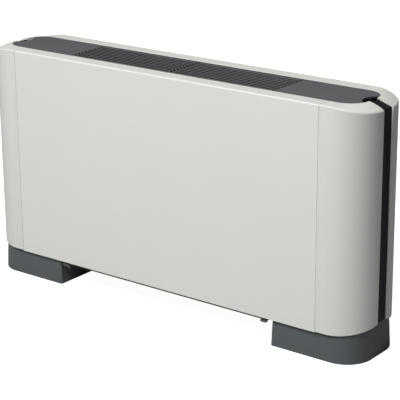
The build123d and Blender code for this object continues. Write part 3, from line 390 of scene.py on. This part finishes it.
# casing pieces, which stand in for the plainer CAD ones
casing = {
    "halfDepth": 0.113, "floorGap": 0.070, "top": 0.634, "sheet": 0.0012, "panelHalf": 0.4776,
    "crest": 0.004, "lowerBend": 0.0018, "flangeBend": 0.0012, "panelReturn": 0.020,
    "openingHalf": 0.070, "seat": 0.6237, "seatReach": 0.006, "crestSteps": 7, "bendSteps": 3, "smooth": 34,
}
corner = {
    "x": 0.504, "y": 0.020, "start": 0.4784, "outer": 0.093, "inner": 0.050, "wall": 0.003, "foot": 0.073,
    "drop": 0.016, "rise": 0.017, "ease": 0.02, "crown": 1.6, "crownSteps": 6, "crest": 0.0035,
    "crestSteps": 7, "innerBend": 0.0008, "bendSteps": 2, "seatWall": 0.002, "steps": 36, "lastTurn": 89.75,
    "cheekStart": 0.0560, "cheekLow": 0.604, "cheekInset": 0.0001, "lip": 0.007,
    "tongueWall": 0.002, "tongueGap": 0.0013, "tongueLow": 0.004, "tongueDrop": 0.016,
    "tongueBack": 0.012, "tongueOver": 0.004,
}


def makeForm(name, build):
    # a mesh piece from the faces that build puts into an empty form
    form = bmesh.new()
    build(form)
    bmesh.ops.recalc_face_normals(form, faces=form.faces[:])
    mesh = bpy.data.meshes.new(name)
    form.to_mesh(mesh)
    form.free()
    piece = bpy.data.objects.new(name, mesh)
    bpy.context.scene.collection.objects.link(piece)
    return piece


def addPrism(form, outline, low, high, axis):
    # a closed outline pushed along one axis
    spread = {"X": lambda a, b, c: (c, a, b), "Y": lambda a, b, c: (a, c, b)}[axis]
    rings = [[form.verts.new(spread(a, b, c)) for a, b in outline] for c in (low, high)]
    form.faces.new(rings[0])
    form.faces.new(rings[1])
    bridgeRings(form, rings)


def bridgeRings(form, rings):
    count = len(rings[0])
    for near, far in zip(rings, rings[1:]):
        for index in range(count):
            after = (index + 1) % count
            form.faces.new((near[index], near[after], far[after], far[index]))


def arcPoints(centre, radius, first, last, steps):
    points = []
    for index in range(steps + 1):
        turn = math.radians(first + (last - first) * index / steps)
        points.append((centre[0] + radius * math.cos(turn), centre[1] + radius * math.sin(turn)))
    return points


def mirrored(piece, name, axis):
    # the same piece on the other side
    twin = piece.copy()
    twin.data = piece.data.copy()
    twin.name = name
    bpy.context.scene.collection.objects.link(twin)
    pickOnly(twin)
    bpy.ops.object.mode_set(mode="EDIT")
    bpy.ops.mesh.select_all(action="SELECT")
    flip = (-1, 1, 1) if axis == "X" else (1, -1, 1)
    bpy.ops.transform.resize(value=flip, center_override=(0, 0, 0))
    bpy.ops.mesh.normals_make_consistent(inside=False)
    bpy.ops.object.mode_set(mode="OBJECT")
    return twin


def finishPiece(piece, nodeName, bevel, smooth=38):
    softenEdges(piece, bevel, smooth)
    setMaterial(piece, finishes[slotOfNode[nodeName]])
    takePlace(piece, nodeName)
    return piece


def addBlock(name, low, high):
    # a cube at its size and place
    clearSelection()
    middle = [(a + b) / 2 for a, b in zip(low, high)]
    bpy.ops.mesh.primitive_cube_add(size=1, location=middle, scale=[b - a for a, b in zip(low, high)])
    block = bpy.context.object
    block.name = name
    settle(block)
    return block


def shape(piece, kind, test):
    # edit mode, with the parts selected whose corners all pass the test
    pickOnly(piece)
    bpy.ops.object.mode_set(mode="EDIT")
    bpy.ops.mesh.select_mode(type=kind)
    bpy.ops.mesh.select_all(action="DESELECT")
    form = bmesh.from_edit_mesh(piece.data)
    for part in {"VERT": form.verts, "EDGE": form.edges, "FACE": form.faces}[kind]:
        corners = [part] if kind == "VERT" else part.verts
        if all(test(corner.co) for corner in corners):
            part.select_set(True)
    form.select_flush_mode()
    bmesh.update_edit_mesh(piece.data)


def shapingDone():
    bpy.ops.object.mode_set(mode="OBJECT")


def joinAll(name, pieces):
    clearSelection()
    for piece in pieces:
        piece.select_set(True)
    bpy.context.view_layer.objects.active = pieces[0]
    bpy.ops.object.join()
    pieces[0].name = name
    return pieces[0]


def makePanel(values):
    # one sheet: lower return, face, rounded crest, rim, flange and the seat for the lids
    half, low, top, seat = values["halfDepth"], values["floorGap"], values["top"], values["seat"]
    across, opening = 2 * values["panelHalf"], values["openingHalf"]
    clearSelection()
    bpy.ops.mesh.primitive_plane_add(size=1, location=(0, -half + values["panelReturn"] / 2, low))
    panel = bpy.context.object
    panel.name = "frontPanel"
    panel.scale = (across, values["panelReturn"], 1)
    settle(panel)
    shape(panel, "EDGE", lambda place: place.y < -half + closeBy)
    for step in ((0, 0, top - low), (0, half - opening, 0), (0, 0, seat - top), (0, values["seatReach"], 0)):
        bpy.ops.mesh.extrude_region_move(TRANSFORM_OT_translate={"value": step})
    bends = (
        ("lowerBend", "bendSteps", lambda place: place.y < -half + closeBy and place.z < low + closeBy),
        ("crest", "crestSteps", lambda place: place.y < -half + closeBy and place.z > top - closeBy),
        ("flangeBend", "bendSteps", lambda place: place.y > -opening - closeBy and place.z > top - closeBy),
    )
    for bend, steps, test in bends:
        shape(panel, "EDGE", test)
        bpy.ops.mesh.bevel(offset=values[bend], segments=values[steps])
    bpy.ops.mesh.select_all(action="SELECT")
    bpy.ops.mesh.normals_make_consistent(inside=False)
    shapingDone()
    applyModifier(panel, "SOLIDIFY", thickness=values["sheet"], offset=-1.0)
    return finishPiece(panel, "front_panel", 0.0, values["smooth"])


def shellPoint(values, turn, radius, height):
    # the rim leans outwards and the lower edge rises on the way round to the groove
    ease = values["ease"]
    lean = (math.sqrt(math.sin(turn) ** 2 + ease) - math.sqrt(ease)) / (math.sqrt(1 + ease) - math.sqrt(ease))
    share = max(0.0, (radius - values["inner"]) / (values["outer"] - values["inner"]))
    if height > values["cheekLow"]:
        height -= values["drop"] * lean * share ** values["crown"]
    if height < values["foot"] + closeBy:
        height += values["rise"] * (1 - math.cos(turn))
    return (radius * math.sin(turn), -radius * math.cos(turn), height)


def makeCornerShell(values, shared):
    # swept ring by ring, because a spin keeps one section and this one changes all the way round
    outer, inner, wall, foot = values["outer"], values["inner"], values["wall"], values["foot"]
    crest, bend, thick, middle = values["crest"], values["innerBend"], values["seatWall"], values["x"]
    top, seat, reach = shared["top"], shared["seat"], shared["seatReach"]
    width = outer - crest - inner - bend
    section = [(outer, foot)]
    section += arcPoints((outer - crest, top - crest), crest, 0, 90, values["crestSteps"])
    section += [(outer - crest - width * index / values["crownSteps"], top)
                for index in range(1, values["crownSteps"])]
    section += arcPoints((inner + bend, top - bend), bend, 90, 180, values["bendSteps"])
    rim = section[:-2]
    section += [(inner, seat), (inner - reach, seat), (inner - reach, seat - thick)]
    section += [(inner + thick, seat - thick), (inner + thick, top - wall), (outer - wall, top - wall)]
    section += [(outer - wall, foot)]

    def build(form):
        steps = values["steps"]
        turns = [math.radians(values["lastTurn"] * index / steps) for index in range(steps + 1)]
        rings = []
        for x, turn in [(values["start"], 0.0)] + [(middle, turn) for turn in turns]:
            places = [shellPoint(values, turn, radius, height) for radius, height in section]
            ring = [(x + across, along - values["y"], z) for across, along, z in places]
            rings.append([form.verts.new(place) for place in ring])
        bridgeRings(form, rings)
        form.faces.new(rings[0])
        form.faces.new(rings[-1])
        # the cheek that faces the groove: a narrow lip, wider under the rim
        edge = [shellPoint(values, math.pi / 2, radius, height) for radius, height in rim]
        cheek = [(middle + across - values["cheekInset"], z) for across, along, z in edge]
        cheekX, lipX = middle + values["cheekStart"], middle + outer - values["lip"]
        cheek += [(middle + inner, top - wall), (cheekX, top - wall), (cheekX, values["cheekLow"])]
        cheek += [(lipX, values["cheekLow"]), (lipX, cheek[0][1])]
        addPrism(form, cheek, -values["y"] - wall, -values["y"], "Y")
        # tongue that backs the seam beside the panel
        low, high = foot + values["tongueLow"], top - values["tongueDrop"]
        front = values["tongueGap"] - shared["halfDepth"]
        back = front + values["tongueWall"]
        tongue = [(front, low), (back, low), (back, high), (front, high)]
        start = values["start"]
        addPrism(form, tongue, start - values["tongueBack"], start + values["tongueOver"], "X")

    return makeForm("cornerShellFrontRight", build)


makePanel(casing)
frontRight = makeCornerShell(corner, casing)
shells = {
    "corner_shell_front_right": frontRight,
    "corner_shell_front_left": mirrored(frontRight, "cornerShellFrontLeft", "X"),
    "corner_shell_rear_right": mirrored(frontRight, "cornerShellRearRight", "Y"),
}
shells["corner_shell_rear_left"] = mirrored(shells["corner_shell_front_left"], "cornerShellRearLeft", "Y")
for nodeName, shell in shells.items():
    finishPiece(shell, nodeName, 0.0, casing["smooth"])
print("casing skin made: panel and", len(shells), "corner shells")

strip = {"face": 0.5933, "low": 0.090, "crease": 0.6180, "topX": 0.5560, "top": 0.6305, "wall": 0.003,
         "half": 0.0196, "creaseBend": 0.0008, "wingFace": 0.5897, "wingHalf": 0.032, "wingTop": 0.600,
         "edge": 0.0004}


def makeStrip(values):
    # upright plate, its top folded inwards over the crease, with a wider one behind the shells' lips
    face, wall, half = values["face"], values["wall"], values["half"]
    plate = addBlock("sideStripRight", (face - wall, -half, values["low"]), (face, half, values["crease"]))
    shape(plate, "FACE", lambda place: place.z > values["crease"] - closeBy)
    fold = (values["topX"] - face, 0, values["top"] - values["crease"])
    bpy.ops.mesh.extrude_region_move(TRANSFORM_OT_translate={"value": fold})
    shape(plate, "VERT", lambda place: place.x < values["topX"] - closeBy)
    bpy.ops.transform.translate(value=(wall, 0, -wall))
    shape(plate, "VERT", lambda place: place.x < face - closeBy and abs(place.z - values["crease"]) < closeBy)
    bpy.ops.transform.translate(value=(0, 0, -wall))
    shape(plate, "EDGE", lambda place: place.x > face - closeBy and place.z > values["crease"] - closeBy)
    bpy.ops.mesh.bevel(offset=values["creaseBend"], segments=1)
    shape(plate, "EDGE", lambda place: place.z > values["top"] - closeBy)
    bpy.ops.mesh.bevel(offset=values["creaseBend"], segments=1)
    shapingDone()
    wing = addBlock("wing", (values["wingFace"] - wall, -values["wingHalf"], values["low"]),
                    (values["wingFace"], values["wingHalf"], values["wingTop"]))
    return joinAll("sideStripRight", [plate, wing])


# the strips' near-black colour is partly painted shade of the groove
rightStrip = makeStrip(strip)
finishPiece(mirrored(rightStrip, "sideStripLeft", "X"), "side_strip_left", strip["edge"])
finishPiece(rightStrip, "side_strip_right", strip["edge"])

lid = {"start": 0.323, "skirtStart": 0.329, "half": 0.0693, "corner": 0.0493, "end": 0.5533, "top": 0.634,
       "plate": 0.003, "low": 0.624, "skirt": 0.002, "overlap": 0.0005, "knuckle": 0.003,
       "notchX": 0.5325, "notchRadius": 0.0474, "notchDepth": 0.05, "ribX": 0.4165, "ribHeight": 0.0035,
       "ribInset": 0.001, "cornerSteps": 12, "notchSteps": 80, "knuckleSteps": 24, "edge": 0.0005}


def addRoundedBlock(name, low, high, values):
    # its two outer upright edges are rounded
    block = addBlock(name, low, high)
    for side in (-1, 1):
        shape(block, "EDGE", lambda place: place.x > high[0] - closeBy and place.y * side > high[1] - closeBy)
        bpy.ops.mesh.bevel(offset=values["corner"], segments=values["cornerSteps"])
    shapingDone()
    return block


def makeLid(values):
    low, top, half, end = values["low"], values["top"], values["half"], values["end"]
    underside, skirt, notch = top - values["plate"], values["skirt"], values["notchRadius"]
    joined = underside + values["overlap"]
    plate = addRoundedBlock("lidRight", (values["start"], -half, underside), (end, half, top), values)
    rim = addRoundedBlock("rim", (values["skirtStart"], -half, low), (end, half, joined), values)
    shape(rim, "FACE", lambda place: place.z < low + closeBy)
    bpy.ops.mesh.inset(thickness=skirt)
    rise = underside - low + values["overlap"] / 2  # the rim's ceiling stays hidden in the plate
    bpy.ops.mesh.extrude_region_move(TRANSFORM_OT_translate={"value": (0, 0, rise)})
    shapingDone()
    # the finger notch goes through the plate and the skirt
    clearSelection()
    bpy.ops.mesh.primitive_cylinder_add(vertices=values["notchSteps"], radius=notch,
                                        depth=values["notchDepth"],
                                        location=(values["notchX"] + notch, 0, top))
    cutter = bpy.context.object
    for piece in (plate, rim):
        applyModifier(piece, "BOOLEAN", object=cutter, operation="DIFFERENCE", solver="EXACT")
    bpy.data.objects.remove(cutter)
    parts = [plate, rim]
    reach, ribLow = half - values["ribInset"], underside - values["ribHeight"]
    for x in (values["skirtStart"], values["ribX"]):
        parts.append(addBlock("rib", (x, -reach, ribLow), (x + skirt, reach, joined)))
    # knuckle that turns on the hinge pin
    clearSelection()
    knuckle = values["knuckle"]
    bpy.ops.mesh.primitive_cylinder_add(vertices=values["knuckleSteps"], radius=knuckle, depth=2 * half,
                                        location=(values["start"], 0, top - knuckle),
                                        rotation=(math.pi / 2, 0, 0))
    settle(bpy.context.object)
    parts.append(bpy.context.object)
    return joinAll("lidRight", parts)


rightLid = makeLid(lid)
finishPiece(mirrored(rightLid, "lidLeft", "X"), "lid_left", lid["edge"])
finishPiece(rightLid, "lid_right", lid["edge"])
print("strips and lids made")

grille = {"near": 0.00035, "far": 0.3197, "half": 0.0693, "rail": 0.003, "low": 0.624, "top": 0.634,
          "count": 10, "wall": 0.0024, "lean": 0.0035, "edgeCut": 0.0004, "backCut": 0.0003,
          "frontCutWide": 0.0007, "frontCutDeep": 0.0009, "joint": 0.0054, "rung": 0.0058,
          "ribs": 3, "ribHalf": 0.001, "ribInset": 0.002, "ribHeight": 0.004,
          "sink": 0.0005, "barInset": 0.0001, "barLow": 0.001, "barGap": 0.0002, "smooth": 30}


def makeGrille(values):
    # blades that lean to the front between two long rails, with a comb of short rungs at each end,
    # drawn point by point for the uneven cuts along each blade's top
    low, top, half, cut = values["low"], values["top"], values["half"], values["edgeCut"]
    near, far, joint, count = values["near"], values["far"], values["joint"], values["count"]
    pitch = (2 * half - values["rail"]) / (count + 0.5)
    rows = [pitch * (index - (count - 1) / 2) for index in range(count)]
    ends = ((near, near + joint / 2), (far - joint, far))

    def slab(low, high, reachLow, reachHigh):
        return [(reachLow, low), (reachHigh, low), (reachHigh, high), (reachLow, high)]

    def build(form):
        lean, wall, rung = values["lean"], values["wall"] / 2, values["rung"] / 2
        for row in rows:
            back, front = row - lean + wall, row - lean - wall
            blade = [(row + lean - wall, low), (row + lean + wall, low), (back, top - values["backCut"]),
                     (back - cut, top), (front + values["frontCutWide"], top),
                     (front, top - values["frontCutDeep"])]
            addPrism(form, blade, ends[0][1], ends[1][0], "X")
            for start, stop in ends:
                addPrism(form, slab(low, top - cut, row - rung, row + rung), start, stop, "X")
        for side in (-1, 1):
            inner = side * (half - values["rail"])
            rail = [(side * half, low), (side * half, top - cut), (side * (half - cut), top), (inner, top),
                    (inner, low)]
            addPrism(form, rail, near, far, "X")
        reach = half - values["ribInset"]
        for index in range(values["ribs"]):
            x = near + (far - near) * (index + 1) / (values["ribs"] + 1)
            rib = slab(low, low + values["ribHeight"], -reach, reach)
            addPrism(form, rib, x - values["ribHalf"], x + values["ribHalf"], "X")

    def buildShade(form):
        # the sunk bars between the rungs, near-black as painted shade of the deep holes at the module joints
        reach, gap = half - values["rail"] - values["barInset"], values["barGap"]
        for start, stop in ends:
            bar = slab(low + values["barLow"], top - values["sink"], -reach, reach)
            addPrism(form, bar, start + gap, stop - gap, "X")

    return makeForm("louvreGrilleRight", build), makeForm("grilleJointShadeRight", buildShade)


rightGrille, rightJointShade = makeGrille(grille)
leftGrille = mirrored(rightGrille, "louvreGrilleLeft", "X")
leftJointShade = mirrored(rightJointShade, "grilleJointShadeLeft", "X")
finishPiece(rightGrille, "louvre_grille_right", 0.0, grille["smooth"])
finishPiece(leftGrille, "louvre_grille_left", 0.0, grille["smooth"])
# the near-black bars are painted shade of the deep holes where the modules meet
for jointShade in (rightJointShade, leftJointShade):
    setMaterial(jointShade, finishes["strip_plastic"])
    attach(jointShade, bodyOfNode["louvre_grille_right"])
print("grille made")


# floor, light and camera
def makeFloor(values):
    clearSelection()
    bpy.ops.mesh.primitive_plane_add(size=values["size"], location=(0, 0, 0))
    floor = bpy.context.object
    floor.name = "floor"
    settle(floor)
    material = bpy.data.materials.new("paleFloor")
    material.use_nodes = True
    tree = material.node_tree
    tree.nodes.clear()
    diffuse = tree.nodes.new("ShaderNodeBsdfDiffuse")
    diffuse.inputs["Color"].default_value = (*values["colour"], 1)
    glow = tree.nodes.new("ShaderNodeEmission")
    path = tree.nodes.new("ShaderNodeLightPath")
    seen = tree.nodes.new("ShaderNodeMath")
    seen.operation = "MULTIPLY"
    seen.inputs[1].default_value = values["lift"]
    tree.links.new(path.outputs["Is Camera Ray"], seen.inputs[0])
    tree.links.new(seen.outputs["Value"], glow.inputs["Strength"])
    both = tree.nodes.new("ShaderNodeAddShader")
    tree.links.new(diffuse.outputs["BSDF"], both.inputs[0])
    tree.links.new(glow.outputs["Emission"], both.inputs[1])
    output = tree.nodes.new("ShaderNodeOutputMaterial")
    tree.links.new(both.outputs["Shader"], output.inputs["Surface"])
    floor.data.materials.append(material)


def makeWorld(values):
    world = bpy.data.worlds.new("studio")
    bpy.context.scene.world = world
    world.use_nodes = True
    tree = world.node_tree
    tree.nodes.clear()
    path = tree.nodes.new("ShaderNodeLightPath")
    seen = tree.nodes.new("ShaderNodeMath")
    seen.operation = "MAXIMUM"
    tree.links.new(path.outputs["Is Camera Ray"], seen.inputs[0])
    tree.links.new(path.outputs["Is Transmission Ray"], seen.inputs[1])
    ambient = tree.nodes.new("ShaderNodeBackground")
    ambient.inputs["Color"].default_value = (*values["ambientColour"], 1)
    ambient.inputs["Strength"].default_value = values["ambient"]
    shiny = tree.nodes.new("ShaderNodeBackground")
    shiny.inputs["Strength"].default_value = values["reflected"]
    white = tree.nodes.new("ShaderNodeBackground")
    white.inputs["Color"].default_value = (1, 1, 1, 1)
    white.inputs["Strength"].default_value = 1.0
    first = tree.nodes.new("ShaderNodeMixShader")
    tree.links.new(path.outputs["Is Glossy Ray"], first.inputs["Fac"])
    tree.links.new(ambient.outputs["Background"], first.inputs[1])
    tree.links.new(shiny.outputs["Background"], first.inputs[2])
    second = tree.nodes.new("ShaderNodeMixShader")
    tree.links.new(seen.outputs["Value"], second.inputs["Fac"])
    tree.links.new(first.outputs["Shader"], second.inputs[1])
    tree.links.new(white.outputs["Background"], second.inputs[2])
    output = tree.nodes.new("ShaderNodeOutputWorld")
    tree.links.new(second.outputs["Shader"], output.inputs["Surface"])


def makeLamp(name, values):
    lamp = bpy.data.lights.new(name, "AREA")
    lamp.shape = "RECTANGLE"
    lamp.size = values["width"]
    lamp.size_y = values["height"]
    lamp.energy = values["power"]
    holder = bpy.data.objects.new(name, lamp)
    bpy.context.scene.collection.objects.link(holder)
    holder.location = values["place"]
    aim = Vector(values["aim"]) - Vector(values["place"])
    holder.rotation_euler = aim.to_track_quat("-Z", "Y").to_euler()


def makeCamera(values):
    data = bpy.data.cameras.new("photoCamera")
    data.sensor_width = values["sensor"]
    data.lens = values["lens"]
    data.clip_end = values["clip"]
    camera = bpy.data.objects.new("photoCamera", data)
    bpy.context.scene.collection.objects.link(camera)
    camera.location = values["place"]
    turn = Matrix.Rotation(math.radians(values["yaw"]), 4, "Z")
    turn = turn @ Matrix.Rotation(math.radians(90 - values["pitch"]), 4, "X")
    turn = turn @ Matrix.Rotation(math.radians(values["roll"]), 4, "Z")
    camera.rotation_euler = turn.to_euler()
    bpy.context.scene.camera = camera


lamps = {
    "topSoftbox": {"width": 1.8, "height": 1.2, "power": 9, "place": (0.1, 0.2, 3.0), "aim": (0, 0, 0.6)},
    "backFill": {"width": 2.4, "height": 0.5, "power": 40, "place": (-1.6, 3.6, 0.3), "aim": (0, 0, 0.3)},
    "keySoftbox": {"width": 2.2, "height": 1.8, "power": 352, "place": (-0.15, -3.6, 4.7),
                   "aim": (0, 0, 0.35)},
}
studioFloor = {"size": 12, "colour": (0.45, 0.45, 0.45), "lift": 0.95}
studioAir = {"ambient": 0.12, "ambientColour": (1, 1, 1), "reflected": 0.14}
photoCamera = {"place": (2.2951, -2.9310, 1.5210), "yaw": 37.46, "pitch": 18.43, "roll": -0.46,
               "lens": 136.42, "sensor": 36, "clip": 60}
makeFloor(studioFloor)
makeWorld(studioAir)
for lampName, lampValues in lamps.items():
    makeLamp(lampName, lampValues)
makeCamera(photoCamera)

settings = bpy.context.scene.view_settings
settings.view_transform = "Standard"
print("studio ready")
